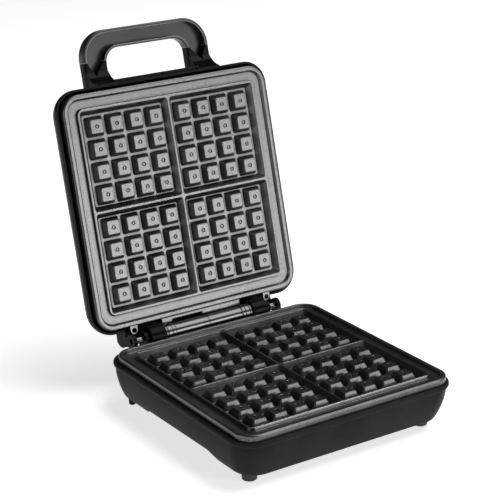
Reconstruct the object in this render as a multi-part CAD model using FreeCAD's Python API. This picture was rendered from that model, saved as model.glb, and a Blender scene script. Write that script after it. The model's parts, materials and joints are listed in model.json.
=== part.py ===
import FreeCAD, Part
import math
import os

# Waffle maker for four square waffles, stored with its lid standing open.
# Millimetres.  X runs to the object's left-to-right, Y from front to back, Z up from the table.
# Everything is drawn about the middle of the lower plate with the lid shut;
# the lid's pieces are then swung open about the hinge, and the whole is moved back to the origin.

os.makedirs("parts", exist_ok=True)

# ---------------------------------------------------------------- driving sizes
PITCH = 22.5                    # peg to peg
RIM_Z = 54.0                    # top of the lower plate above the table
CLOSED_GAP = 3.2                # between the two plate rims with the lid shut
OPEN_ANGLE = 104.7              # how far the lid is swung up from shut
ORIGIN_SHIFT_Y = -66.8          # moves the middle of the open outline over the origin

# cooking plates
PLATE_HALF = 117.9
PLATE_CORNER = 18.0
PLATE_DEPTH = 10.5              # rim to back face
MOAT_OUTER = 113.6              # overflow channel, outer top edge
MOAT_INNER = 103.8              # overflow channel, inner top edge
MOAT_DEPTH = 3.2
RIDGE_HALF = 101.7              # crest of the ridge around the four waffles
RIDGE_WIDTH = 1.6
RIDGE_CORNER = 5.0
DIVIDER_WIDTH = 1.8             # crest of the cross between the waffles
CAVITY_DEPTH = 7.0
CAVITY_RUN = 4.6                # how far a cavity wall leans in on its way down
PEG_TOP = 13.3
PEG_BASE = 20.3
PEG_OFFSETS = (0.738, 1.738, 2.738, 3.738)   # peg centres, in pitches
RING_OUTER = 2.3
RING_INNER = 0.9
RING_DEPTH = 1.0
BACK_RELIEF = 4.4
LUG_X = 79.7                    # ring lugs on a plate's back edge
LUG_Y = 122.2
LUG_OUTER = 4.0
LUG_INNER = 2.5
LUG_THICK = 3.4
TAB_HALF = 46.6                 # tab along the upper plate's back edge
TAB_BACK = 123.0
TAB_THICK = 1.6
NOTCH_LEFT = -35.0
NOTCH_RIGHT = 1.1
NOTCH_FRONT = 120.2

# base housing
WALL = 2.6
LIP_HALF = 122.6
LIP_FRONT = -122.0
LIP_BACK = 126.5
LIP_CORNER = 26.0
LIP_TOP = 47.6
LIP_BOTTOM = 42.4
LIP_ROUND = 2.1
MOUTH_HALF = 118.4                # opening the lower plate drops into
MOUTH_CORNER = 18.6
REAR_EXTRA = 3.0                  # the rear wall is thicker by this
BASE_BOTTOM = 10.3
# height, half width, front, back, corner radius
BASE_SECTIONS = (
    (45.0, 120.4, -119.8, 125.0, 24.0),
    (38.0, 120.2, -119.3, 124.9, 24.0),
    (30.0, 119.2, -118.0, 124.2, 23.5),
    (22.0, 117.2, -116.0, 123.0, 23.0),
    (15.5, 115.0, -113.6, 121.5, 22.0),
    (BASE_BOTTOM, 112.4, -111.2, 119.8, 21.0),
)
ARCH_TOP_FRONT = 15.9
ARCH_TOP_BACK = 13.6
ARCH_FRONT = -50.0
ARCH_FRONT_FOOT = -64.0
ARCH_BACK = 56.0
BAY_HALF = 89.6                 # recess in the rear wall for the hinge
BAY_FRONT = 122.8
BAY_LOW = 33.0
POST_RADIUS = 5.0
POST_X = 105.0
POST_FRONT = -74.0
POST_BACK = 84.0
LID_POST_Y = 84.0
PLATE_SCREW_X = 104.0
PLATE_SCREW_Y = 45.0
COVER_LOW = 16.4
COVER_THICK = 1.2
COVER_HALF = 111.8
COVER_FRONT = -110.4
COVER_BACK = 115.2

# feet
FOOT_X = 98.0
FOOT_FRONT = -93.5
FOOT_TOP_R = 7.8
FOOT_BOTTOM_R = 7.0
FOOT_ROUND = 1.2
FOOT_TALL = 12.6
REAR_FOOT_X = 105.0
REAR_FOOT_Y = 103.5
REAR_FOOT_TOP_R = 4.8
REAR_FOOT_BOTTOM_R = 3.2

# hinge
HINGE_Y = 131.7
HINGE_Z = RIM_Z - 1.6
PIN_RADIUS = 3.0
PIN_CLEAR = 0.05
PIN_END = 86.0
KNUCKLE_INNER = 52.0            # base knuckle, at the outer end of the tube collar
KNUCKLE_OUTER = 69.6
KNUCKLE_RADIUS = 11.5
KNUCKLE_EDGE = 0.8
CHEEK_INNER = 70.2              # the two cheeks of a lid arm turn on the pin
CHEEK_MID_IN = 75.0
CHEEK_MID_OUT = 84.4
ARM_INNER = 56.6
ARM_OUTER = 88.0
CHEEK_RADIUS = 7.2
SWEEP_RADIUS = 12.1             # clear of the base knuckle at every angle
TUBE_RADIUS = 8.4
TUBE_BORE = 6.6
TUBE_END = 39.4
COLLAR_END = 51.2
COLLAR_RADIUS = 9.0
SEAM_HALF = 0.3

# lid housing, heights measured above the upper plate's rim with the lid shut
LID_RIM_Z = RIM_Z + CLOSED_GAP
LID_LIP_LOW = 6.7
LID_LIP_INNER = 120.6
LID_SECTIONS = (
    (LID_LIP_LOW, 122.7, 24.0),
    (12.5, 122.5, 24.0),
    (17.5, 121.2, 24.0),
    (24.0, 117.6, 23.0),
    (32.0, 111.6, 22.0),
    (40.0, 104.4, 20.0),
    (45.5, 98.0, 18.0),
)
LID_TOP = 45.5
PANEL_HALF = 92.0
PANEL_CORNER = 14.0
PANEL_RECESS = 0.6
PANEL_PROUD = 0.4

# handle, lid shut
HANDLE_LOW = 27.2               # underside of the bar above the upper plate's rim
HANDLE_HIGH = 43.0
HANDLE_SOFT = 1.6               # edges on the plate side
HANDLE_ROUND = 7.0              # edges on the palm side
HANDLE_OUTER = 72.9
HANDLE_INNER = 47.2
HANDLE_FRONT = -176.8
HANDLE_BAR_BACK = -157.6
HANDLE_OUTER_R = 28.0
HANDLE_INNER_R = 15.0
GRIP_SPLIT = -146.2
LEG_BACK = -100.0
GUSSET_FRONT = -144.0
GUSSET_BACK = -123.6
GUSSET_LOW = 10.5
LEDGE_FRONT = -126.2
STRIP_OUTER = 69.5
STRIP_INNER = 49.9
STRIP_FRONT = -173.6
STRIP_BACK = -160.0
STRIP_OUTER_R = 24.7
STRIP_INNER_R = 17.3
STRIP_TIP = -131.5
STRIP_TIP_X = 62.2
CHANNEL_DEPTH = 10.4
CHANNEL_REACH = 18.0            # how far the channel also cuts into the flare below
HANDLE_SCREWS = [(x, LID_RIM_Z + 36.0) for x in (-67.0, -53.0, 53.0, 67.0)]
HANDLE_SCREW_TIP = -124.0
HANDLE_SCREW_SEAT = -102.2
STRIP_THICK = 1.6

# outlines of a lid arm and of the hood from the side, lid shut: distance behind the
# lower plate's middle, height above the lower plate's rim
ARM_OUTLINE = (
    (112.0, 10.8), (129.2, 8.4), (138.0, 11.0), (139.8, 19.6),
    (137.5, 25.5), (134.0, 28.8), (126.2, 28.4), (112.0, 30.0),
)
COVER_OUTLINE = (
    (112.0, 11.2), (138.0, 11.8), (138.6, 19.6),
    (136.4, 24.9), (133.2, 27.6), (112.0, 29.0),
)

# indicator lamps in the top of the lid
LAMP_X = (-9.0, 9.0)
LAMP_Y = -78.0
LAMP_RADIUS = 2.9
LAMP_HOLE = 3.0
LAMP_PROUD = 1.4

# underside of the base
VENT_HALF = 24.0
VENT_STEP = 9.0
VENT_ROWS = 7
VENT_HALF_WIDTH = 1.6
WRAP_X = 62.0                   # ring the cord is wound around
WRAP_Y = 52.0
WRAP_LOW = 8.6
WRAP_WALL = 2.4
WRAP_CORNER = 22.0
WRAP_GAP = 8.0

# cord gland in the rear wall
GLAND_X = -25.0
GLAND_Z = 28.0
GLAND_HOLE = 6.2
GLAND_FLANGE = 8.4
GLAND_BORE = 3.3
GLAND_IN = 114.2
GLAND_OUT = 127.2
GLAND_TAIL = 12.0

# screws
SCREW_RADIUS = 1.5
SCREW_PILOT = 1.6
SCREW_HEAD = 3.6
SCREW_HEAD_TALL = 2.2

# heating and wiring
THERMOSTAT_X = 52.0
THERMOSTAT_Y = -30.0
FUSE_X = -40.0
FUSE_Y = 30.0
TERMINAL_Y = 96.0
TERMINAL_SPREAD = 6.0
LEAD_RADIUS = 1.1
ELEMENT_RADIUS = 3.3
ELEMENT_HALF = 74.0
ELEMENT_BEND = 16.0
ELEMENT_GAP = 14.0
REFLECTOR_SHEET = 0.5
REFLECTOR_MOUTH = 98.0
REFLECTOR_FLOOR = 88.0
REFLECTOR_DROP = 9.5

HINGE_POINT = FreeCAD.Vector(0, HINGE_Y, HINGE_Z)
X_AXIS = FreeCAD.Vector(1, 0, 0)
Y_AXIS = FreeCAD.Vector(0, 1, 0)
Z_AXIS = FreeCAD.Vector(0, 0, 1)
SIDES = (-1, 1)

# screw positions
PLATE_SCREWS = [(x * PLATE_SCREW_X, y * PLATE_SCREW_Y) for x in SIDES for y in SIDES]
POSTS = [(x * POST_X, y) for x in SIDES for y in (POST_FRONT, POST_BACK)]
LID_POSTS = [(x * POST_X, y * LID_POST_Y) for x in SIDES for y in SIDES]
REFLECTOR_SEAT = RIM_Z - PLATE_DEPTH - REFLECTOR_SHEET
LID_SEAT = LID_RIM_Z + PLATE_DEPTH + REFLECTOR_SHEET


# ---------------------------------------------------------------- helpers
def point(x, y, z):
    return FreeCAD.Vector(x, y, z)


def rounded_wire(x0, x1, y0, y1, z, radius):
    """Closed outline of a rectangle with round corners, level at height z."""
    lean = radius * (1 - math.sqrt(0.5))
    a = point(x0 + radius, y0, z)
    b = point(x1 - radius, y0, z)
    c = point(x1, y0 + radius, z)
    d = point(x1, y1 - radius, z)
    e = point(x1 - radius, y1, z)
    f = point(x0 + radius, y1, z)
    g = point(x0, y1 - radius, z)
    h = point(x0, y0 + radius, z)
    edges = [
        Part.LineSegment(a, b).toShape(),
        Part.Arc(b, point(x1 - lean, y0 + lean, z), c).toShape(),
        Part.LineSegment(c, d).toShape(),
        Part.Arc(d, point(x1 - lean, y1 - lean, z), e).toShape(),
        Part.LineSegment(e, f).toShape(),
        Part.Arc(f, point(x0 + lean, y1 - lean, z), g).toShape(),
        Part.LineSegment(g, h).toShape(),
        Part.Arc(h, point(x0 + lean, y0 + lean, z), a).toShape(),
    ]
    return Part.Wire(edges)


def rounded_slab(x0, x1, y0, y1, z0, z1, radius):
    face = Part.Face(rounded_wire(x0, x1, y0, y1, z0, radius))
    return face.extrude(point(0, 0, z1 - z0))


def square_slab(half, z0, z1, radius):
    return rounded_slab(-half, half, -half, half, z0, z1, radius)


def square_wire(half, z, radius):
    return rounded_wire(-half, half, -half, half, z, radius)


def box(x0, x1, y0, y1, z0, z1):
    return Part.makeBox(x1 - x0, y1 - y0, z1 - z0, point(x0, y0, z0))


def drafted(wires):
    return Part.makeLoft(wires, True, True)


def smooth(wires):
    return Part.makeLoft(wires, True, False)


def upright(x, y, z0, z1, radius):
    return Part.makeCylinder(radius, z1 - z0, point(x, y, z0), Z_AXIS)


def along_x(x0, x1, y, z, radius):
    return Part.makeCylinder(radius, x1 - x0, point(x0, y, z), X_AXIS)


def along_y(y0, y1, x, z, radius):
    return Part.makeCylinder(radius, y1 - y0, point(x, y0, z), Y_AXIS)


def side_profile(points_yz, x0, x1):
    """Prism between x0 and x1 whose outline is given as (y, z) pairs."""
    corners = [point(x0, y, z) for y, z in points_yz]
    face = Part.Face(Part.makePolygon(corners + corners[:1]))
    return face.extrude(point(x1 - x0, 0, 0))


def joined(shapes):
    whole = shapes[0]
    if len(shapes) > 1:
        whole = shapes[0].multiFuse(shapes[1:])
    return whole.removeSplitter()


def group(shapes):
    solids = []
    for shape in shapes:
        solids.extend(shape.Solids)
    return Part.makeCompound(solids)


def mirrored_x(shape):
    return shape.mirror(point(0, 0, 0), X_AXIS)


def rounded_where(shape, radius, wanted):
    edges = [edge for edge in shape.Edges if wanted(edge)]
    return shape.makeFillet(radius, edges)


def level_at(edge, z):
    box_of = edge.BoundBox
    return abs(box_of.ZMin - z) < 0.01 and abs(box_of.ZMax - z) < 0.01


def turned_over(shape):
    """Lower-plate piece turned over its rim plane to become the upper plate's."""
    return shape.mirror(point(0, 0, RIM_Z + CLOSED_GAP / 2), Z_AXIS)


# ---------------------------------------------------------------- cooking plates
def peg():
    """One waffle peg with a softened top and a small ring pressed in it."""
    floor_z = RIM_Z - CAVITY_DEPTH
    base = square_wire(PEG_BASE / 2, floor_z - 0.4, 1.6)
    top = square_wire(PEG_TOP / 2, RIM_Z, 1.4)
    body = drafted([base, top])
    body = rounded_where(body, 0.6, lambda edge: level_at(edge, RIM_Z))
    ring = upright(0, 0, RIM_Z - RING_DEPTH, RIM_Z + 1, RING_OUTER)
    ring = ring.cut(upright(0, 0, RIM_Z - 1, RIM_Z + 1, RING_INNER))
    return body.cut(ring)


def cavity(side_x, side_y):
    """Space of one waffle: wide at the rim, leaning in to the floor."""
    near = DIVIDER_WIDTH / 2
    far = RIDGE_HALF - RIDGE_WIDTH / 2
    xs = sorted((side_x * near, side_x * far))
    ys = sorted((side_y * near, side_y * far))
    run = CAVITY_RUN
    top = rounded_wire(xs[0], xs[1], ys[0], ys[1], RIM_Z, 3.4)
    floor = rounded_wire(
        xs[0] + run, xs[1] - run, ys[0] + run, ys[1] - run, RIM_Z - CAVITY_DEPTH, 2.0
    )
    above = rounded_slab(xs[0], xs[1], ys[0], ys[1], RIM_Z, RIM_Z + 2, 3.4)
    return drafted([floor, top]).fuse(above)


def overflow_channel():
    """Ring-shaped channel between the plate's outer lip and the ridge."""
    floor_z = RIM_Z - MOAT_DEPTH
    outer = drafted([
        square_wire(MOAT_OUTER - 2.2, floor_z, PLATE_CORNER - 6.4),
        square_wire(MOAT_OUTER, RIM_Z + 0.01, PLATE_CORNER - 4.2),
    ])
    inner = drafted([
        square_wire(MOAT_INNER + 0.4, floor_z - 1, RIDGE_CORNER + 2.6),
        square_wire(RIDGE_HALF + RIDGE_WIDTH / 2, RIM_Z + 1, RIDGE_CORNER + 0.8),
    ])
    return outer.cut(inner)


def plate_back():
    """Hollow under the overflow channel that keeps the casting even."""
    low = RIM_Z - PLATE_DEPTH - 1
    high = RIM_Z - PLATE_DEPTH + BACK_RELIEF
    outer = square_slab(PLATE_HALF - 3.0, low, high, PLATE_CORNER - 3.0)
    return outer.cut(square_slab(RIDGE_HALF - 0.6, low - 1, high + 1, 6.0))


def ring_lug(x):
    low = RIM_Z - 0.4 - LUG_THICK
    high = RIM_Z - 0.4
    lug = upright(x, LUG_Y, low, high, LUG_OUTER)
    web = box(x - LUG_OUTER, x + LUG_OUTER, PLATE_HALF - 1, LUG_Y - 1.2, low, high)
    lug = lug.fuse(web)
    return lug.cut(upright(x, LUG_Y, low - 1, high + 1, LUG_INNER))


def back_tab():
    """Thin tab behind the upper plate, notched over one half of the tube."""
    low = RIM_Z - 1.2 - TAB_THICK
    high = RIM_Z - 1.2
    tab = box(-TAB_HALF, TAB_HALF, PLATE_HALF - 1, TAB_BACK, low, high)
    notch = box(NOTCH_LEFT, NOTCH_RIGHT, NOTCH_FRONT, TAB_BACK + 1, low - 1, high + 1)
    return tab.cut(notch)


def screw_post(x, y):
    return upright(x, y, RIM_Z - PLATE_DEPTH, RIM_Z - PLATE_DEPTH + BACK_RELIEF, 5.0)


def cooking_plate():
    """Plate as it lies in the base; the upper one is the same casting plus a tab."""
    slab = square_slab(PLATE_HALF, RIM_Z - PLATE_DEPTH, RIM_Z, PLATE_CORNER)
    slab = rounded_where(slab, 1.6, lambda edge: level_at(edge, RIM_Z))
    cuts = [overflow_channel(), plate_back()]
    cuts += [cavity(sx, sy) for sx in SIDES for sy in SIDES]
    slab = slab.cut(cuts)
    one = peg()
    extras = []
    for row in PEG_OFFSETS:
        for column in PEG_OFFSETS:
            for sx in SIDES:
                for sy in SIDES:
                    spot = point(sx * column * PITCH, sy * row * PITCH, 0)
                    extras.append(one.translated(spot))
    extras += [ring_lug(side * LUG_X) for side in SIDES]
    extras += [screw_post(x, y) for x, y in PLATE_SCREWS]
    plate = joined([slab] + extras)
    holes = [
        upright(x, y, RIM_Z - PLATE_DEPTH - 1, RIM_Z - PLATE_DEPTH + 5.2, 1.5)
        for x, y in PLATE_SCREWS
    ]
    return plate.cut(holes)


# ---------------------------------------------------------------- base
def base_outer():
    return smooth([
        rounded_wire(-half, half, front, back, z, corner)
        for z, half, front, back, corner in BASE_SECTIONS
    ])


def base_lip():
    lip = rounded_slab(
        -LIP_HALF, LIP_HALF, LIP_FRONT, LIP_BACK, LIP_BOTTOM, LIP_TOP, LIP_CORNER
    )
    return rounded_where(lip, LIP_ROUND, lambda edge: edge.BoundBox.ZLength < 0.01)


def base_solid():
    """Outer form of the base housing with no hollow, cut back where the hinge sits."""
    bay = box(-BAY_HALF, BAY_HALF, BAY_FRONT, LIP_BACK + 5, BAY_LOW, LIP_TOP + 1)
    return base_outer().fuse(base_lip()).cut(bay)


def base_hollow():
    wires = []
    for z, half, front, back, corner in BASE_SECTIONS:
        wires.append(rounded_wire(
            -half + WALL, half - WALL, front + WALL, back - WALL - REAR_EXTRA, z, corner - WALL
        ))
    return smooth(wires)


def side_arch():
    low = BASE_BOTTOM - 1
    return side_profile(
        [
            (ARCH_FRONT_FOOT, low),
            (ARCH_FRONT_FOOT, BASE_BOTTOM),
            (ARCH_FRONT - 4.0, ARCH_TOP_FRONT - 1.2),
            (ARCH_FRONT, ARCH_TOP_FRONT),
            (ARCH_BACK, ARCH_TOP_BACK),
            (ARCH_BACK + 4.0, BASE_BOTTOM),
            (ARCH_BACK + 4.0, low),
        ],
        -LIP_HALF - 5,
        LIP_HALF + 5,
    )


def corner_post(x, y):
    """Post for a cover screw, tied to the nearest side wall."""
    post = upright(x, y, COVER_LOW + COVER_THICK, REFLECTOR_SEAT, POST_RADIUS)
    side = 1 if x > 0 else -1
    ends = sorted((x, side * (BASE_SECTIONS[0][1] - 1.0)))
    rib = box(ends[0], ends[1], y - 1.2, y + 1.2, 22.0, REFLECTOR_SEAT)
    return post.fuse(rib)


def rear_foot(side):
    foot = Part.makeCone(
        REAR_FOOT_BOTTOM_R, REAR_FOOT_TOP_R, BASE_BOTTOM + 6.0, point(0, 0, 0), Z_AXIS
    )
    foot = rounded_where(foot, 1.4, lambda edge: level_at(edge, 0.0))
    return foot.translated(point(side * REAR_FOOT_X, REAR_FOOT_Y, 0))


def base_housing():
    mouth = square_slab(MOUTH_HALF, REFLECTOR_SEAT - 0.1, LIP_TOP + 1, MOUTH_CORNER)
    shell = base_solid().cut([base_hollow(), mouth, side_arch()])
    outer = base_outer()
    posts = [corner_post(x, y).common(outer) for x, y in POSTS]
    feet = [rear_foot(side) for side in SIDES]
    housing = joined([shell] + posts + feet)
    screw_holes = [upright(x, y, 15.0, 34.0, SCREW_PILOT) for x, y in POSTS]
    gland_hole = along_y(110.0, 130.0, GLAND_X, GLAND_Z, GLAND_HOLE)
    return housing.cut(screw_holes + [gland_hole])


def base_cover():
    """Sheet under the base, with vent slots, a cord-wrap ring and pads over the front feet."""
    z0 = COVER_LOW
    z1 = COVER_LOW + COVER_THICK
    sheet = rounded_slab(-COVER_HALF, COVER_HALF, COVER_FRONT, COVER_BACK, z0, z1, 19.0)
    rim = rounded_slab(-WRAP_X, WRAP_X, -WRAP_Y, WRAP_Y, WRAP_LOW, z0, WRAP_CORNER)
    in_x = WRAP_X - WRAP_WALL
    in_y = WRAP_Y - WRAP_WALL
    rim = rim.cut(rounded_slab(
        -in_x, in_x, -in_y, in_y, WRAP_LOW - 1, z0 + 0.01, WRAP_CORNER - WRAP_WALL
    ))
    pads = [
        upright(side * FOOT_X, FOOT_FRONT, FOOT_TALL, z0, FOOT_TOP_R + 0.8)
        for side in SIDES
    ]
    cover = joined([sheet, rim] + pads)
    slots = []
    for row in range(VENT_ROWS):
        y = (row - VENT_ROWS // 2) * VENT_STEP
        slots.append(rounded_slab(
            -VENT_HALF, VENT_HALF, y - VENT_HALF_WIDTH, y + VENT_HALF_WIDTH,
            z0 - 1, z1 + 1, VENT_HALF_WIDTH - 0.1,
        ))
    gaps = []
    for side in SIDES:
        y = side * (WRAP_Y + 4)
        gaps.append(box(-WRAP_GAP, WRAP_GAP, y - WRAP_GAP, y + WRAP_GAP, WRAP_LOW - 1, z0))
    rear_holes = [
        upright(side * REAR_FOOT_X, REAR_FOOT_Y, z0 - 1, z1 + 1, REAR_FOOT_TOP_R + 0.6)
        for side in SIDES
    ]
    screw_holes = [upright(x, y, z0 - 1, z1 + 1, 2.0) for x, y in POSTS]
    return cover.cut(slots + gaps + screw_holes + rear_holes)


def front_feet():
    feet = []
    for side in SIDES:
        foot = Part.makeCone(FOOT_BOTTOM_R, FOOT_TOP_R, FOOT_TALL, point(0, 0, 0), Z_AXIS)
        foot = rounded_where(foot, FOOT_ROUND, lambda edge: level_at(edge, 0.0))
        feet.append(foot.translated(point(side * FOOT_X, FOOT_FRONT, 0)))
    return group(feet)


def pan_screw(x, y, seat_z, length):
    """Cross-slot screw driven upwards, its head under seat_z."""
    top = seat_z - SCREW_HEAD_TALL
    crown = Part.makeCone(SCREW_HEAD - 1.2, SCREW_HEAD, 1.0, point(x, y, top), Z_AXIS)
    disc = upright(x, y, top + 1.0, seat_z, SCREW_HEAD)
    shank = upright(x, y, seat_z, seat_z + length, SCREW_RADIUS)
    screw = joined([crown, disc, shank])
    slots = [
        box(x - reach_x, x + reach_x, y - reach_y, y + reach_y, top - 0.8, top + 0.8)
        for reach_x, reach_y in ((1.8, 0.35), (0.35, 1.8))
    ]
    return screw.cut(slots)


def cover_screws():
    return group([pan_screw(x, y, COVER_LOW, 12.0) for x, y in POSTS])


def plate_screws():
    return group([pan_screw(x, y, REFLECTOR_SEAT, 5.2) for x, y in PLATE_SCREWS])


# ---------------------------------------------------------------- heating
def heater():
    """Bent tube heater against the lower plate's back, its two ends meeting at the rear."""
    z = RIM_Z - PLATE_DEPTH - ELEMENT_RADIUS
    half = ELEMENT_HALF
    path = square_wire(half, z, ELEMENT_BEND)
    start = point(-half + ELEMENT_BEND, -half, z)
    profile = Part.Wire(Part.makeCircle(ELEMENT_RADIUS, start, X_AXIS))
    tube = path.makePipeShell([profile], True, False)
    gap = box(-ELEMENT_GAP, ELEMENT_GAP, half - 10, half + 10, z - 10, z + 10)
    ends = []
    for side in SIDES:
        x0, x1 = sorted((side * ELEMENT_GAP, side * (ELEMENT_GAP - 7.0)))
        ends.append(along_x(x0, x1, half, z, ELEMENT_RADIUS * 0.55))
        ends.append(box(x0, x1, half - 3.0, half + 3.0, z - 0.4, z + 0.4))
    return joined([tube.cut(gap)] + ends)


def reflector():
    """Shallow sheet pan behind the heater, with a flange under the plate's skirt."""
    top = RIM_Z - PLATE_DEPTH
    seat = top - REFLECTOR_SHEET
    floor = top - REFLECTOR_DROP
    flange = square_slab(PLATE_HALF - 1.0, seat, top, PLATE_CORNER - 1.0)
    flange = flange.cut(square_slab(REFLECTOR_MOUTH, seat - 1, top + 1, 12.0))
    outer = drafted([
        square_wire(REFLECTOR_FLOOR + REFLECTOR_SHEET, floor, 12.0),
        square_wire(REFLECTOR_MOUTH + REFLECTOR_SHEET, seat, 12.8),
    ])
    inner = drafted([
        square_wire(REFLECTOR_FLOOR, floor + REFLECTOR_SHEET, 11.2),
        square_wire(REFLECTOR_MOUTH, top, 12.0),
    ])
    pan = joined([outer.cut(inner), flange])
    holes = [upright(x, y, seat - 1, top + 1, 1.9) for x, y in PLATE_SCREWS + LID_POSTS]
    lead_holes = [upright(side * 24, 60, floor - 1, floor + 2, 4.0) for side in SIDES]
    return pan.cut(holes + lead_holes)


def thermostat():
    """Disc thermostat on the pan floor."""
    x = THERMOSTAT_X
    y = THERMOSTAT_Y
    top = RIM_Z - PLATE_DEPTH - REFLECTOR_DROP
    disc = upright(x, y, top - 6.0, top, 8.0)
    cap = upright(x, y, top - 9.0, top - 6.0, 5.5)
    blades = []
    for side in SIDES:
        middle = x + side * 3.6
        blades.append(box(middle - 0.4, middle + 0.4, y - 3, y + 3, top - 15.0, top - 9.0))
    flange = box(x - 12.0, x + 12.0, y - 4.0, y + 4.0, top - 1.0, top)
    return joined([disc, cap, flange] + blades)


def thermal_fuse():
    """Small tube fuse clipped to the pan floor."""
    x = FUSE_X
    y = FUSE_Y
    z = RIM_Z - PLATE_DEPTH - REFLECTOR_DROP - 3.0
    body = along_x(x - 12.0, x + 12.0, y, z, 2.4)
    leads = along_x(x - 20.0, x + 20.0, y, z, 0.6)
    clip = box(x - 3.0, x + 3.0, y - 3.2, y + 3.2, z - 1.0, z + 3.0)
    return joined([body, leads, clip])


# ---------------------------------------------------------------- inside the base
def terminal_block():
    """Two-way screw block standing on the cover beside the cord's way in."""
    z0 = COVER_LOW + COVER_THICK
    y = TERMINAL_Y
    spread = TERMINAL_SPREAD
    middles = [GLAND_X + side * spread for side in SIDES]
    body = box(GLAND_X - 2 * spread, GLAND_X + 2 * spread, y - 6, y + 6, z0, z0 + 9.0)
    wells = [upright(x, y, z0 + 4, z0 + 10, 2.3) for x in middles]
    ways = [along_y(y - 7, y + 7, x, z0 + 3.0, 1.4) for x in middles]
    body = body.cut(wells + ways)
    screws = [upright(x, y, z0 + 4.0, z0 + 7.5, 2.0) for x in middles]
    return group([body] + screws)


def cord_gland():
    """Moulded bush in the rear wall where the supply cord leaves."""
    neck = along_y(GLAND_IN, GLAND_OUT, GLAND_X, GLAND_Z, GLAND_HOLE - 0.1)
    flange_out = along_y(GLAND_OUT - 2.2, GLAND_OUT, GLAND_X, GLAND_Z, GLAND_FLANGE)
    flange_in = along_y(GLAND_IN, GLAND_IN + 2.4, GLAND_X, GLAND_Z, GLAND_FLANGE)
    tail_at = point(GLAND_X, GLAND_OUT - 1.0, GLAND_Z)
    tail = Part.makeCone(GLAND_HOLE, GLAND_HOLE - 1.6, GLAND_TAIL, tail_at, Y_AXIS)
    bush = joined([neck, flange_out, flange_in, tail])
    grooves = []
    for step in range(3):
        y = GLAND_OUT + 1.4 + step * 2.8
        ring = along_y(y, y + 1.0, GLAND_X, GLAND_Z, GLAND_FLANGE)
        grooves.append(ring.cut(along_y(y - 1, y + 2, GLAND_X, GLAND_Z, 4.2)))
    bore = along_y(GLAND_IN - 1, GLAND_OUT + GLAND_TAIL + 1, GLAND_X, GLAND_Z, GLAND_BORE)
    return bush.cut([bore] + grooves)


def base_wiring():
    """Two leads that rise from the terminal block towards the heater's ends."""
    z0 = COVER_LOW + COVER_THICK + 3.0
    wires = []
    for side, bend_y in ((-1, 68.0), (1, 62.0)):
        x = GLAND_X + side * TERMINAL_SPREAD
        path = [
            point(x, TERMINAL_Y - 6.5, z0),
            point(x, TERMINAL_Y - 16.0, z0 + 1.5),
            point(x + 8, bend_y, z0 + 6.0),
            point(x + 18, bend_y - 6, z0 + 8.0),
        ]
        curve = Part.BSplineCurve()
        curve.interpolate(path)
        spine = Part.Wire(curve.toShape())
        profile = Part.Wire(Part.makeCircle(LEAD_RADIUS, path[0], Y_AXIS))
        wires.append(spine.makePipeShell([profile], True, True))
    return group(wires)


# ---------------------------------------------------------------- hinge
def hinge_disc(x0, x1, radius):
    return along_x(x0, x1, HINGE_Y, HINGE_Z, radius)


def tangent_block(x0, x1, radius, far):
    """Web from the hinge circle to a far edge given as two (y, z) points."""
    steps = 24
    rim = []
    for index in range(steps):
        angle = 2 * math.pi * index / steps
        rim.append((HINGE_Y + radius * math.cos(angle), HINGE_Z + radius * math.sin(angle)))
    hull = convex(rim + list(far))
    return side_profile(hull, x0, x1).fuse(hinge_disc(x0, x1, radius)).removeSplitter()


def convex(points):
    """Outline of the smallest convex shape around the given (y, z) points."""
    ordered = sorted(set(points))

    def half_of(sequence):
        chain = []
        for item in sequence:
            while len(chain) > 1:
                ay, az = chain[-2]
                by, bz = chain[-1]
                turn = (by - ay) * (item[1] - az) - (bz - az) * (item[0] - ay)
                if turn > 1e-9:
                    break
                chain.pop()
            chain.append(item)
        return chain[:-1]

    return half_of(ordered) + half_of(ordered[::-1])


def base_bracket(side):
    """Knuckle on the base that holds a hinge pin, with its web to the rear wall."""
    wall = [(BAY_FRONT - 2.0, 42.0), (BAY_FRONT - 2.0, 21.0)]
    body = tangent_block(KNUCKLE_INNER, KNUCKLE_OUTER, KNUCKLE_RADIUS - KNUCKLE_EDGE, wall)
    barrel = hinge_disc(KNUCKLE_INNER, KNUCKLE_OUTER, KNUCKLE_RADIUS)
    barrel = barrel.makeChamfer(
        KNUCKLE_EDGE, [edge for edge in barrel.Edges if edge.BoundBox.XLength < 0.01]
    )
    body = body.fuse(barrel)
    plate_room = box(0, 100, 100, PLATE_HALF + 1.0, BAY_LOW, RIM_Z + 20)
    body = body.cut([base_solid(), plate_room, hinge_disc(KNUCKLE_INNER + 2, 100, PIN_RADIUS)])
    bracket = biggest(body.removeSplitter())
    return bracket if side > 0 else mirrored_x(bracket)


def biggest(shape):
    return max(shape.Solids, key=lambda solid: solid.Volume)


def hinge_pin(side):
    pin = hinge_disc(KNUCKLE_INNER + 2, PIN_END, PIN_RADIUS)
    return pin if side > 0 else mirrored_x(pin)


def from_outline(outline, x0, x1):
    return side_profile([(y, RIM_Z + above) for y, above in outline], x0, x1)


def lid_arm(side):
    """Arm of the lid: a block behind the lid with two cheeks that turn on the hinge pin."""
    block = from_outline(ARM_OUTLINE, ARM_INNER, ARM_OUTER)
    cheeks = []
    for x0, x1 in ((CHEEK_INNER, CHEEK_MID_IN), (CHEEK_MID_OUT, ARM_OUTER)):
        far = [(128.6, RIM_Z + 9.0), (137.4, RIM_Z + 11.4)]
        cheeks.append(tangent_block(x0, x1, CHEEK_RADIUS, far))
    arm = joined([block] + cheeks)
    arm = arm.cut([
        lid_outer(),
        hinge_disc(ARM_INNER - 1, CHEEK_INNER, SWEEP_RADIUS),
        hinge_disc(CHEEK_INNER - 1, ARM_OUTER + 1, PIN_RADIUS + PIN_CLEAR),
    ])
    arm = biggest(arm)
    return arm if side > 0 else mirrored_x(arm)


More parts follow.
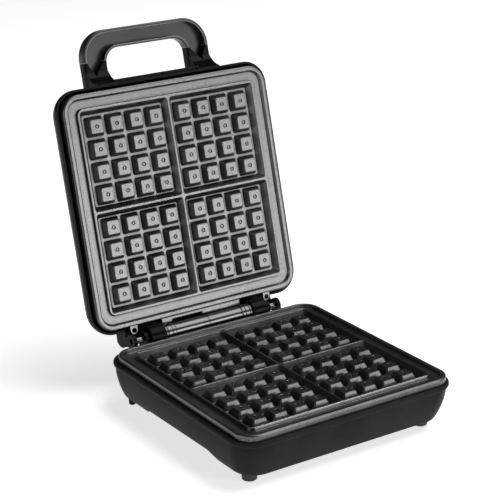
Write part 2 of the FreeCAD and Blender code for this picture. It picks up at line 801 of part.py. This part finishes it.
def hinge_cover():
    """Hood along the back of the lid between its two arms, over the tube."""
    hood = from_outline(COVER_OUTLINE, -ARM_INNER + 0.2, ARM_INNER - 0.2)
    return biggest(hood.cut([lid_outer(), hinge_disc(-60, 60, SWEEP_RADIUS)]))


def tube_half(side):
    """Half of the metal tube along the hinge line that carries the lid's leads."""
    tube = hinge_disc(SEAM_HALF, TUBE_END, TUBE_RADIUS)
    tube = tube.cut(hinge_disc(SEAM_HALF - 1, TUBE_END + 1, TUBE_BORE))
    return tube if side > 0 else mirrored_x(tube)


def tube_collar(side):
    """Grooved collar at the outer end of a tube half."""
    collar = hinge_disc(TUBE_END, COLLAR_END, COLLAR_RADIUS)
    for start, width, depth in ((TUBE_END, 0.8, 1.2), (TUBE_END + 4.2, 0.7, 0.5),
                                (COLLAR_END - 2.4, 0.8, 0.8)):
        groove = hinge_disc(start, start + width, COLLAR_RADIUS + 1)
        core = hinge_disc(start - 1, start + width + 1, COLLAR_RADIUS - depth)
        collar = collar.cut(groove.cut(core))
    collar = collar.cut(hinge_disc(TUBE_END - 1, COLLAR_END + 1, TUBE_BORE))
    if side > 0:
        return collar
    window = box(
        TUBE_END + 5.4, TUBE_END + 8.6, HINGE_Y - 14.0, HINGE_Y - 4.0, HINGE_Z - 4.2, HINGE_Z + 1.2
    )
    return mirrored_x(collar.cut(window))


def base_saddle():
    """Cradle on the base's rear wall under the right half of the tube."""
    block = box(6.0, 46.0, BAY_FRONT - 2.0, HINGE_Y + 4.0, 38.0, HINGE_Z - 2.0)
    slope = side_profile(
        [(BAY_FRONT + 4.0, 37.0), (HINGE_Y + 5.0, 37.0), (HINGE_Y + 5.0, 43.5)], 5.0, 47.0
    )
    block = block.cut([
        base_solid(),
        hinge_disc(SEAM_HALF - 1, TUBE_END, TUBE_RADIUS),
        hinge_disc(TUBE_END, COLLAR_END, COLLAR_RADIUS),
        slope,
    ])
    return biggest(block)


def lid_saddle():
    """Web that grips the left half of the tube and hangs it from the lid's hood."""
    web = box(-46.0, -2.0, 123.6, 137.4, RIM_Z + 2.0, RIM_Z + 13.0)
    return biggest(web.cut([
        hinge_cover(),
        lid_outer(),
        hinge_disc(-TUBE_END, 1.0, TUBE_RADIUS),
        hinge_disc(-COLLAR_END, -TUBE_END, COLLAR_RADIUS),
    ]))


# ---------------------------------------------------------------- lid, drawn shut
def lid_wire(section):
    above, half, corner = section
    return square_wire(half, LID_RIM_Z + above, corner)


def lid_outer():
    return smooth([lid_wire(section) for section in LID_SECTIONS])


def lid_boss(x, y):
    side = 1 if x > 0 else -1
    post = upright(x, y, LID_SEAT, LID_RIM_Z + LID_TOP - 1.0, POST_RADIUS)
    ends = sorted((x, side * 121.0))
    rib = box(ends[0], ends[1], y - 1.2, y + 1.2, LID_SEAT, LID_RIM_Z + 30.0)
    return post.fuse(rib)


def lid_housing():
    """Bowl-shaped cover over the upper plate, open towards the plate."""
    outer = lid_outer()
    above, half, corner = LID_SECTIONS[0]
    hollow_sections = [(above - 0.01, LID_LIP_INNER, corner - 2.0)]
    hollow_sections += [
        (above, half - WALL, corner - WALL) for above, half, corner in LID_SECTIONS[1:-1]
    ]
    above, half, corner = LID_SECTIONS[-1]
    hollow_sections.append((above - WALL, half - WALL, corner - WALL))
    hollow = smooth([lid_wire(section) for section in hollow_sections])
    shell = outer.cut(hollow)
    recess = square_slab(
        PANEL_HALF, LID_RIM_Z + LID_TOP - PANEL_RECESS, LID_RIM_Z + LID_TOP + 1, PANEL_CORNER
    )
    bosses = [lid_boss(x, y).common(outer) for x, y in LID_POSTS]
    housing = joined([shell] + bosses)
    top = LID_RIM_Z + LID_TOP
    lamp_holes = [upright(x, LAMP_Y, top - 6, top + 2, LAMP_HOLE) for x in LAMP_X]
    screw_holes = [upright(x, y, LID_SEAT - 1, LID_SEAT + 14, SCREW_PILOT) for x, y in LID_POSTS]
    handle_holes = [along_y(-130.0, -100.0, x, z, 1.8) for x, z in HANDLE_SCREWS]
    return housing.cut([recess] + lamp_holes + screw_holes + handle_holes)


def lid_panel():
    """Brushed metal sheet let into the top of the lid."""
    low = LID_RIM_Z + LID_TOP - PANEL_RECESS
    high = LID_RIM_Z + LID_TOP + PANEL_PROUD
    panel = square_slab(PANEL_HALF - 0.3, low, high, PANEL_CORNER - 0.3)
    panel = rounded_where(panel, 0.3, lambda edge: level_at(edge, high))
    holes = [upright(x, LAMP_Y, low - 1, low + 3, LAMP_HOLE) for x in LAMP_X]
    return panel.cut(holes)


def lamp(index):
    """Domed lens over an indicator lamp."""
    x = LAMP_X[index]
    low = LID_RIM_Z + LID_TOP - 5.0
    high = LID_RIM_Z + LID_TOP + LAMP_PROUD
    lens = upright(x, LAMP_Y, low, high, LAMP_RADIUS)
    lens = rounded_where(lens, 1.2, lambda edge: level_at(edge, high))
    flange = upright(x, LAMP_Y, low, LID_RIM_Z + LID_TOP - WALL - 0.02, 4.0)
    return joined([lens, flange])


def lamp_board():
    """Small board that carries both indicator lamps under the lid's top."""
    high = LID_RIM_Z + LID_TOP - 5.0
    board = rounded_slab(-20, 20, LAMP_Y - 7, LAMP_Y + 7, high - 1.6, high, 2.0)
    holders = [upright(x, LAMP_Y, high - 5.0, high - 1.6, 3.2) for x in LAMP_X]
    resistors = [along_x(x - 3, x + 3, LAMP_Y - 4.5, high - 2.2, 1.0) for x in LAMP_X]
    return joined([board] + holders + resistors)


def lid_screws():
    seat = LID_SEAT - REFLECTOR_SHEET
    return group([pan_screw(x, y, seat, 10.0) for x, y in LID_POSTS])


# ---------------------------------------------------------------- handle, drawn shut
def handle_loop():
    """Whole D-shaped bar with softened edges, before it is divided."""
    low = LID_RIM_Z + HANDLE_LOW
    high = LID_RIM_Z + HANDLE_HIGH
    outer = rounded_slab(
        -HANDLE_OUTER, HANDLE_OUTER, HANDLE_FRONT, LEG_BACK + 60, low, high, HANDLE_OUTER_R
    )
    inner = rounded_slab(
        -HANDLE_INNER, HANDLE_INNER, HANDLE_BAR_BACK, LEG_BACK + 90, low - 1, high + 1,
        HANDLE_INNER_R,
    )
    loop = outer.cut(inner).common(box(-100, 100, HANDLE_FRONT - 5, LEG_BACK, low - 1, high + 1))

    def plate_side(edge):
        return level_at(edge, low) and edge.BoundBox.YMin < LEG_BACK - 0.01

    def palm_side(edge):
        return level_at(edge, high) and edge.BoundBox.YMin < LEG_BACK - 0.01

    return rounded_where(rounded_where(loop, HANDLE_SOFT, plate_side), HANDLE_ROUND, palm_side)


def gusset(side):
    """Flare that carries a handle leg down to the lid's lip."""
    low = LID_RIM_Z + HANDLE_LOW
    foot = LID_RIM_Z + GUSSET_LOW
    x0 = HANDLE_INNER + 0.6
    x1 = HANDLE_OUTER - 0.6
    a = point(x0, GUSSET_FRONT, low + 3.0)
    b = point(x0, -128.5, low - 6.5)
    c = point(x0, GUSSET_BACK, foot)
    d = point(x0, LEG_BACK, foot)
    e = point(x0, LEG_BACK, low + 5.0)
    f = point(x0, GUSSET_FRONT, low + 5.0)
    edges = [Part.Arc(a, b, c).toShape()]
    corners = [c, d, e, f, a]
    for start, end in zip(corners, corners[1:]):
        edges.append(Part.LineSegment(start, end).toShape())
    web = Part.Face(Part.Wire(edges)).extrude(point(x1 - x0, 0, 0))
    return web if side > 0 else mirrored_x(web)


def strip_shape(z0, z1):
    """U-shaped strip with pointed tips, level between z0 and z1."""
    outer = rounded_slab(
        -STRIP_OUTER, STRIP_OUTER, STRIP_FRONT, LEG_BACK, z0, z1, STRIP_OUTER_R
    )
    inner = rounded_slab(
        -STRIP_INNER, STRIP_INNER, STRIP_BACK, LEG_BACK + 10, z0 - 1, z1 + 1,
        STRIP_INNER_R,
    )
    keep = box(-100, 100, -200, GRIP_SPLIT, z0 - 1, z1 + 1)
    ring = outer.cut(inner).common(keep)
    tips = []
    for side in SIDES:
        corners = [
            point(side * STRIP_OUTER, GRIP_SPLIT, z0),
            point(side * STRIP_INNER, GRIP_SPLIT, z0),
            point(side * STRIP_TIP_X, STRIP_TIP, z0),
        ]
        face = Part.Face(Part.makePolygon(corners + corners[:1]))
        tips.append(face.extrude(point(0, 0, z1 - z0)))
    return joined([ring] + tips)


def handle_channel():
    low = LID_RIM_Z + HANDLE_LOW
    return strip_shape(low - CHANNEL_REACH, low + CHANNEL_DEPTH)


def handle_grip():
    """Front of the handle, the part that is held."""
    front = box(-100, 100, -200, GRIP_SPLIT, LID_RIM_Z, LID_RIM_Z + 80)
    return handle_loop().common(front).cut(handle_channel())


def handle_bracket():
    """Legs of the handle, flared where they meet the lid, with the ledge between them."""
    rear = box(-100, 100, GRIP_SPLIT, LEG_BACK, LID_RIM_Z, LID_RIM_Z + 80)
    legs = handle_loop().common(rear)
    ledge = box(
        -HANDLE_INNER - 2, HANDLE_INNER + 2, LEDGE_FRONT, LEG_BACK,
        LID_RIM_Z + 14.0, LID_RIM_Z + 26.0,
    )
    pieces = [legs, ledge] + [gusset(side) for side in SIDES]
    holes = [along_y(HANDLE_SCREW_TIP, LEG_BACK, x, z, SCREW_PILOT) for x, z in HANDLE_SCREWS]
    bracket = joined(pieces).cut(lid_outer()).cut(handle_channel())
    return biggest(bracket.cut(holes))


def handle_strip():
    """Flat strip let into the underside of the handle."""
    low = LID_RIM_Z + HANDLE_LOW + CHANNEL_DEPTH - STRIP_THICK
    return strip_shape(low, low + STRIP_THICK)


def handle_screws():
    """Screws through the lid's wall into the handle's legs."""
    screws = []
    for x, z in HANDLE_SCREWS:
        shank = along_y(HANDLE_SCREW_TIP, HANDLE_SCREW_SEAT, x, z, 1.6)
        head = along_y(HANDLE_SCREW_SEAT, HANDLE_SCREW_SEAT + 2.2, x, z, 3.4)
        screws.append(joined([shank, head]))
    return group(screws)


# ---------------------------------------------------------------- placing and writing
def swung_open(shape):
    turned = shape.copy()
    turned.rotate(HINGE_POINT, X_AXIS, -OPEN_ANGLE)
    return turned


def write(name, shape, lid=False):
    placed = swung_open(shape) if lid else shape.copy()
    placed.translate(point(0, ORIGIN_SHIFT_Y, 0))
    placed.exportStep("parts/" + name + ".step")
    box_of = placed.BoundBox
    print(
        name, len(placed.Solids), placed.isValid(), round(placed.Volume),
        [round(value, 1) for value in (box_of.XMin, box_of.XMax, box_of.YMin, box_of.YMax,
                                       box_of.ZMin, box_of.ZMax)],
    )


def build_base():
    write("base_housing", base_housing())
    write("base_cover", base_cover())
    write("front_feet", front_feet())
    write("cover_screws", cover_screws())
    write("lower_plate_screws", plate_screws())
    write("lower_reflector", reflector())
    write("lower_heater", heater())
    write("lower_thermal_fuse", thermal_fuse())
    write("terminal_block", terminal_block())
    write("cord_gland", cord_gland())
    write("base_wiring", base_wiring())
    write("hinge_bracket_right", base_bracket(1))
    write("hinge_bracket_left", base_bracket(-1))
    write("hinge_pin_right", hinge_pin(1))
    write("hinge_pin_left", hinge_pin(-1))
    write("tube_right", tube_half(1))
    write("tube_collar_right", tube_collar(1))
    write("tube_saddle_right", base_saddle())


def build_lid():
    write("upper_reflector", turned_over(reflector()), True)
    write("upper_heater", turned_over(heater()), True)
    write("upper_plate_screws", turned_over(plate_screws()), True)
    write("thermostat", turned_over(thermostat()), True)
    write("lid_housing", lid_housing(), True)
    write("lid_panel", lid_panel(), True)
    write("lamp_left", lamp(0), True)
    write("lamp_right", lamp(1), True)
    write("lamp_board", lamp_board(), True)
    write("lid_screws", lid_screws(), True)
    write("lid_arm_right", lid_arm(1), True)
    write("lid_arm_left", lid_arm(-1), True)
    write("hinge_cover", hinge_cover(), True)
    write("tube_left", tube_half(-1), True)
    write("tube_collar_left", tube_collar(-1), True)
    write("tube_saddle_left", lid_saddle(), True)
    write("handle_grip", handle_grip(), True)
    write("handle_bracket", handle_bracket(), True)
    write("handle_strip", handle_strip(), True)
    write("handle_screws", handle_screws(), True)


def build_plates():
    plate = cooking_plate()
    write("lower_plate", plate)
    write("upper_plate", turned_over(joined([plate, back_tab()])), True)


build_base()
build_lid()
build_plates()
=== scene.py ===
import bpy
import json
from mathutils import Matrix, Vector


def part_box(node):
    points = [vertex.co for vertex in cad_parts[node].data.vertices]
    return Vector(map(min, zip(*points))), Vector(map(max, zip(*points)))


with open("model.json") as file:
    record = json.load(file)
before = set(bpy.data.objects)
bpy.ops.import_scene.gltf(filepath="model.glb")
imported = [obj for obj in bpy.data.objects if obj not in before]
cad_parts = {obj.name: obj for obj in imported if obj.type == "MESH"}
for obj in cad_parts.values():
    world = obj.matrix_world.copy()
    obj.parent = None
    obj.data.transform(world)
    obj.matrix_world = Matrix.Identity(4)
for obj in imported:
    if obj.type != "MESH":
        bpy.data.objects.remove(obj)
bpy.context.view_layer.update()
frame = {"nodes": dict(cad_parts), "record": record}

NODES = frame["nodes"]
SCENE = bpy.context.scene

# ---------------------------------------------------------------- camera
# Everything is measured from the middle of the lower plate's rim.
RIM_Y = -0.0668
RIM = Vector((0.0, RIM_Y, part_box("lower_plate")[1].z))
CAMERA_FROM_RIM = Vector((-0.8474, -1.2293, 0.6548))
CAMERA_RIGHT = Vector((0.83126, -0.55577, -0.01099))
CAMERA_UP = Vector((0.19727, 0.27645, 0.94056))
CAMERA_BACK = Vector((-0.51970, -0.78402, 0.33944))
LENS_MM = 122.1
SENSOR_MM = 36.0
CLIP_NEAR = 0.05
CLIP_FAR = 50.0


def make_camera():
    data = bpy.data.cameras.new("camera")
    data.lens = LENS_MM
    data.sensor_width = SENSOR_MM
    data.clip_start = CLIP_NEAR
    data.clip_end = CLIP_FAR
    camera = bpy.data.objects.new("camera", data)
    SCENE.collection.objects.link(camera)
    turn = Matrix((CAMERA_RIGHT, CAMERA_UP, CAMERA_BACK)).transposed().to_4x4()
    camera.matrix_world = Matrix.Translation(RIM + CAMERA_FROM_RIM) @ turn
    SCENE.camera = camera


# ---------------------------------------------------------------- stage and light
FLOOR_REACH = 12.0          # half the side of the floor, metres
FLOOR_GLOW = 0.68           # keeps the studio floor white into the distance
FLOOR_TONE = 0.86
FLOOR_ROUGHNESS = 0.9
FLOOR_LEVEL = 0.1           # specular level
WORLD_GLOW = 0.04           # dim, so that upward faces stay dark
WORLD_TONE = (0.96, 0.98, 1.0, 1)
MIDDLE = (0, 0, 0.12)
# name, place, aim, width, height, watts
LIGHTS = (
    ("overhead", (1.0, -0.35, 2.2), MIDDLE, 1.8, 1.8, 46),
    ("front_right", (1.15, -2.25, 0.42), (0, 0.1, 0.2), 1.3, 0.9, 27),
    ("left_fill", (-2.2, -0.4, 0.8), MIDDLE, 1.2, 0.9, 7),
)


def make_floor():
    mesh = bpy.data.meshes.new("floor")
    reach = FLOOR_REACH
    signs = ((-1, -1), (1, -1), (1, 1), (-1, 1))
    corners = [(x * reach, y * reach, 0) for x, y in signs]
    mesh.from_pydata(corners, [], [(0, 1, 2, 3)])
    floor = bpy.data.objects.new("floor", mesh)
    SCENE.collection.objects.link(floor)
    material = bpy.data.materials.new("floor_white")
    material.use_nodes = True
    shader = material.node_tree.nodes["Principled BSDF"]
    shader.inputs["Base Color"].default_value = (FLOOR_TONE, FLOOR_TONE, FLOOR_TONE, 1)
    shader.inputs["Roughness"].default_value = FLOOR_ROUGHNESS
    shader.inputs["Specular IOR Level"].default_value = FLOOR_LEVEL
    shader.inputs["Emission Color"].default_value = (1, 1, 1, 1)
    shader.inputs["Emission Strength"].default_value = FLOOR_GLOW
    mesh.materials.append(material)


def area_light(name, place, target, size_x, size_y, power):
    data = bpy.data.lights.new(name, "AREA")
    data.shape = "RECTANGLE"
    data.size = size_x
    data.size_y = size_y
    data.energy = power
    light = bpy.data.objects.new(name, data)
    SCENE.collection.objects.link(light)
    light.location = place
    aim = Vector(target) - Vector(place)
    light.rotation_euler = aim.to_track_quat("-Z", "Y").to_euler()


def make_light():
    world = bpy.data.worlds.new("studio")
    world.use_nodes = True
    background = world.node_tree.nodes["Background"]
    background.inputs["Color"].default_value = WORLD_TONE
    background.inputs["Strength"].default_value = WORLD_GLOW
    SCENE.world = world
    for name, place, aim, size_x, size_y, power in LIGHTS:
        area_light(name, place, aim, size_x, size_y, power)
    SCENE.view_settings.view_transform = "Standard"


# ---------------------------------------------------------------- materials
NOISE_ROUGHNESS = 0.6
BROAD_DETAIL = 3.0
FINE_DETAIL = 2.0
BEVEL_SAMPLES = 6
PAINTED_SHADE_SAMPLES = 8
FULL_SPREAD = (0.3, 0.7)            # range of a noise value that shows
SPECK_SPREAD = (0.42, 0.62)
EDGE_SPREAD = (0.86, 0.99)          # cosine between rounded and true normal
# painted shade in grooves: the occlusion window mapped from groove to open face
PAINTED_SHADE_SPREAD = (0.35, 0.92)        # openness from a groove to an open face
MIX_COLOURS = (6, 7)                # sockets of the Mix node that take colours
MIX_RESULT = 2


class Graph:
    """Adds and joins the shader nodes of one material."""

    def __init__(self, name):
        self.material = bpy.data.materials.new(name)
        self.material.use_nodes = True
        self.nodes = self.material.node_tree.nodes
        self.links = self.material.node_tree.links
        self.shader = self.nodes["Principled BSDF"]
        self.place = self.nodes.new("ShaderNodeTexCoord").outputs["Object"]

    def join(self, start, end):
        self.links.new(start, end)

    def stretched(self, scale):
        """Object coordinates scaled along each axis, for streaks."""
        mapping = self.nodes.new("ShaderNodeMapping")
        mapping.inputs["Scale"].default_value = scale
        self.join(self.place, mapping.inputs["Vector"])
        return mapping.outputs["Vector"]

    def noise(self, scale, detail, place):
        node = self.nodes.new("ShaderNodeTexNoise")
        node.inputs["Scale"].default_value = scale
        node.inputs["Detail"].default_value = detail
        node.inputs["Roughness"].default_value = NOISE_ROUGHNESS
        self.join(place, node.inputs["Vector"])
        return node.outputs["Fac"]

    def spread(self, value, low, high, window=FULL_SPREAD):
        """Stretch the given window of a value onto low to high."""
        node = self.nodes.new("ShaderNodeMapRange")
        node.inputs["From Min"].default_value = window[0]
        node.inputs["From Max"].default_value = window[1]
        node.inputs["To Min"].default_value = low
        node.inputs["To Max"].default_value = high
        self.join(value, node.inputs["Value"])
        return node.outputs["Result"]

    def mix(self, factor, first, second):
        """Colour from first at 0 to second at 1; each is a tone or a socket."""
        node = self.nodes.new("ShaderNodeMix")
        node.data_type = "RGBA"
        self.join(factor, node.inputs["Factor"])
        for number, value in zip(MIX_COLOURS, (first, second)):
            if isinstance(value, tuple):
                node.inputs[number].default_value = (*value, 1)
            else:
                self.join(value, node.inputs[number])
        return node.outputs[MIX_RESULT]

    def bevel(self, radius):
        """Normal that turns smoothly over sharp edges."""
        node = self.nodes.new("ShaderNodeBevel")
        node.samples = BEVEL_SAMPLES
        node.inputs["Radius"].default_value = radius
        return node.outputs["Normal"]

    def edges(self, rounded):
        """1 along sharp edges, 0 on flat faces: where worn edges and their painted
        highlight go.
        """
        geometry = self.nodes.new("ShaderNodeNewGeometry")
        dot = self.nodes.new("ShaderNodeVectorMath")
        dot.operation = "DOT_PRODUCT"
        self.join(rounded, dot.inputs[0])
        self.join(geometry.outputs["Normal"], dot.inputs[1])
        return self.spread(dot.outputs["Value"], 1.0, 0.0, EDGE_SPREAD)

    def painted_hollow_shade(self, reach):
        """Painted shade mask: 0 deep in narrow grooves, 1 on open faces."""
        node = self.nodes.new("ShaderNodeAmbientOcclusion")
        node.samples = PAINTED_SHADE_SAMPLES
        node.inputs["Distance"].default_value = reach
        return self.spread(node.outputs["AO"], 0.0, 1.0, PAINTED_SHADE_SPREAD)

    def bump(self, height, strength, distance, normal):
        node = self.nodes.new("ShaderNodeBump")
        node.inputs["Strength"].default_value = strength
        node.inputs["Distance"].default_value = distance
        self.join(height, node.inputs["Height"])
        self.join(normal, node.inputs["Normal"])
        return node.outputs["Normal"]


def finish(name, dark, light, edge_wear_and_highlight, rough, metal=0.0, grain=900.0, grain_height=0.00003,
           grain_strength=0.35, blotch=30.0, edge_radius=0.0006, streak=None,
           level=0.5, speckle=0.45, painted_shade_reach=0.0, painted_shade_tone=(0.0, 0.0, 0.0)):
    """Moulded, cast or brushed surface: colour variation, grain, edges lightened for wear
    and painted highlight, and painted shade in grooves.

    dark and light are the two tones it wavers between, edge_wear_and_highlight the tone of
    its edges, part rubbed wear and part painted highlight, and rough its roughness range.
    grain and blotch are noise scales per metre, streak stretches them, level is the
    specular level, and painted_shade_reach the width of grooves that are darkened with
    painted shade to painted_shade_tone.
    """
    graph = Graph(name)
    place = graph.stretched(streak) if streak else graph.place
    broad = graph.noise(blotch, BROAD_DETAIL, place)
    fine = graph.noise(grain, FINE_DETAIL, place)
    rounded = graph.bevel(edge_radius)
    body = graph.mix(graph.spread(broad, 0.0, 1.0), dark, light)
    speck = graph.mix(graph.spread(fine, 0.0, speckle, SPECK_SPREAD), body, light)
    # sharp edges take the edge tone: part rubbed wear, part painted highlight along rims
    # and ridges
    colour = graph.mix(graph.edges(rounded), speck, edge_wear_and_highlight)
    # painted shade: narrow grooves and dimples darkened towards a near-black tone
    if painted_shade_reach:
        colour = graph.mix(graph.painted_hollow_shade(painted_shade_reach), painted_shade_tone, colour)
    graph.join(colour, graph.shader.inputs["Base Color"])
    roughness = graph.spread(broad, rough[0], rough[1])
    graph.join(roughness, graph.shader.inputs["Roughness"])
    normal = graph.bump(fine, grain_strength, grain_height, rounded)
    graph.join(normal, graph.shader.inputs["Normal"])
    graph.shader.inputs["Metallic"].default_value = metal
    graph.shader.inputs["Specular IOR Level"].default_value = level
    return graph.material


LENS_BRIGHTER = 1.3
LENS_CLEAR = 0.35


def lens(name, colour):
    """Tinted plastic lens of an indicator lamp."""
    brighter = tuple(part * LENS_BRIGHTER for part in colour)
    material = finish(name, colour, brighter, colour, (0.08, 0.16), grain=500.0,
                      grain_strength=0.05)
    shader = material.node_tree.nodes["Principled BSDF"]
    shader.inputs["Transmission Weight"].default_value = LENS_CLEAR
    return material


# The third tone of each finish is its edge tone: rubbed wear, and on the plates, grip and
# black housings also a painted highlight.
SLOTS = {
    "housing_black": finish(
        "housing_black", (0.012, 0.012, 0.012), (0.021, 0.021, 0.021), (0.10, 0.10, 0.101),
        (0.34, 0.44), grain=1500.0, grain_strength=0.3, level=0.03),
    "lid_black": finish(
        "lid_black", (0.002, 0.002, 0.002), (0.004, 0.004, 0.004), (0.07, 0.07, 0.071),
        (0.16, 0.26), grain=1800.0, grain_strength=0.08, edge_radius=0.0005, level=0.04),
    "hinge_black": finish(
        "hinge_black", (0.002, 0.002, 0.002), (0.004, 0.004, 0.004), (0.03, 0.03, 0.032),
        (0.26, 0.38), grain=1600.0, grain_strength=0.25, level=0.05),
    "cover_black": finish(
        "cover_black", (0.020, 0.020, 0.021), (0.034, 0.034, 0.036), (0.05, 0.05, 0.05),
        (0.50, 0.65), grain=1000.0, grain_strength=0.6),
    "foot_rubber": finish(
        "foot_rubber", (0.012, 0.012, 0.012), (0.024, 0.024, 0.024), (0.04, 0.04, 0.04),
        (0.55, 0.75), grain=1200.0, grain_strength=0.5),
    # nonstick: the bright edge tone is a painted highlight on rims and pegs, and the
    # near-black groove tone a painted shade
    "nonstick": finish(
        "nonstick", (0.048, 0.048, 0.050), (0.135, 0.135, 0.137), (0.62, 0.62, 0.62),
        (0.27, 0.36), metal=0.92, grain=950.0, grain_height=0.00005,
        grain_strength=0.9, blotch=26.0, edge_radius=0.00045, speckle=1.0,
        painted_shade_reach=0.004, painted_shade_tone=(0.008, 0.008, 0.008)),
    "grip_grey": finish(
        "grip_grey", (0.008, 0.008, 0.008), (0.014, 0.014, 0.015), (0.46, 0.46, 0.465),
        (0.28, 0.40), grain=1600.0, grain_strength=0.25, edge_radius=0.0012),
    "strip_grey": finish(
        "strip_grey", (0.014, 0.014, 0.015), (0.024, 0.024, 0.025), (0.06, 0.06, 0.06),
        (0.34, 0.46), grain=1500.0, grain_strength=0.3),
    "panel_metal": finish(
        "panel_metal", (0.26, 0.26, 0.265), (0.40, 0.40, 0.41), (0.55, 0.55, 0.55),
        (0.26, 0.40), metal=1.0, grain=260.0, grain_height=0.00003, blotch=60.0,
        streak=(1.0, 24.0, 24.0)),
    "tube_steel": finish(
        "tube_steel", (0.075, 0.075, 0.078), (0.11, 0.11, 0.113), (0.3, 0.3, 0.3),
        (0.22, 0.28), metal=1.0, grain=700.0, grain_height=0.00001,
        grain_strength=0.2, blotch=40.0, streak=(1.0, 6.0, 6.0)),
    "pin_steel": finish(
        "pin_steel", (0.10, 0.10, 0.10), (0.16, 0.16, 0.16), (0.35, 0.35, 0.35),
        (0.22, 0.34), metal=1.0, grain=420.0, streak=(14.0, 1.0, 1.0), edge_radius=0.0003),
    "sheet_steel": finish(
        "sheet_steel", (0.50, 0.50, 0.50), (0.66, 0.66, 0.66), (0.74, 0.74, 0.74),
        (0.26, 0.42), metal=1.0, grain=240.0, blotch=16.0, edge_radius=0.0002),
    "heater_steel": finish(
        "heater_steel", (0.20, 0.17, 0.14), (0.32, 0.30, 0.28), (0.40, 0.38, 0.34),
        (0.36, 0.54), metal=1.0, grain=800.0, blotch=46.0, edge_radius=0.0002),
    "screw_steel": finish(
        "screw_steel", (0.46, 0.46, 0.47), (0.60, 0.60, 0.61), (0.74, 0.74, 0.74),
        (0.24, 0.40), metal=1.0, grain=1400.0, blotch=220.0, edge_radius=0.0002),
    "terminal_white": finish(
        "terminal_white", (0.66, 0.65, 0.61), (0.76, 0.75, 0.71), (0.82, 0.81, 0.78),
        (0.44, 0.58), grain=1500.0, blotch=120.0, edge_radius=0.0004),
    "thermostat_body": finish(
        "thermostat_body", (0.070, 0.040, 0.028), (0.120, 0.070, 0.048), (0.16, 0.10, 0.07),
        (0.44, 0.60), grain=1500.0, blotch=140.0, edge_radius=0.0004),
    "fuse_body": finish(
        "fuse_body", (0.52, 0.50, 0.45), (0.66, 0.64, 0.58), (0.74, 0.72, 0.66),
        (0.30, 0.46), metal=1.0, grain=1500.0, blotch=200.0, edge_radius=0.0002),
    "lead_sleeve": finish(
        "lead_sleeve", (0.55, 0.52, 0.46), (0.68, 0.65, 0.58), (0.7, 0.67, 0.6),
        (0.60, 0.78), grain=2600.0, grain_strength=0.7, blotch=160.0,
        streak=(1.0, 3.0, 1.0), edge_radius=0.0002),
    "bush_rubber": finish(
        "bush_rubber", (0.014, 0.014, 0.014), (0.026, 0.026, 0.026), (0.04, 0.04, 0.04),
        (0.55, 0.72), grain=1400.0, grain_strength=0.4, blotch=120.0),
    "lamp_red": lens("lamp_red", (0.55, 0.04, 0.02)),
    "lamp_green": lens("lamp_green", (0.04, 0.45, 0.08)),
    "board_green": finish(
        "board_green", (0.025, 0.12, 0.045), (0.04, 0.17, 0.065), (0.2, 0.2, 0.12),
        (0.30, 0.44), grain=1600.0, blotch=180.0, edge_radius=0.0003),
}


def dress_nodes():
    for entry in frame["record"]["subparts"]:
        node = NODES[entry["node"]]
        node.data.materials.clear()
        node.data.materials.append(SLOTS[entry["material_slot"]])


make_camera()
make_floor()
make_light()
dress_nodes()
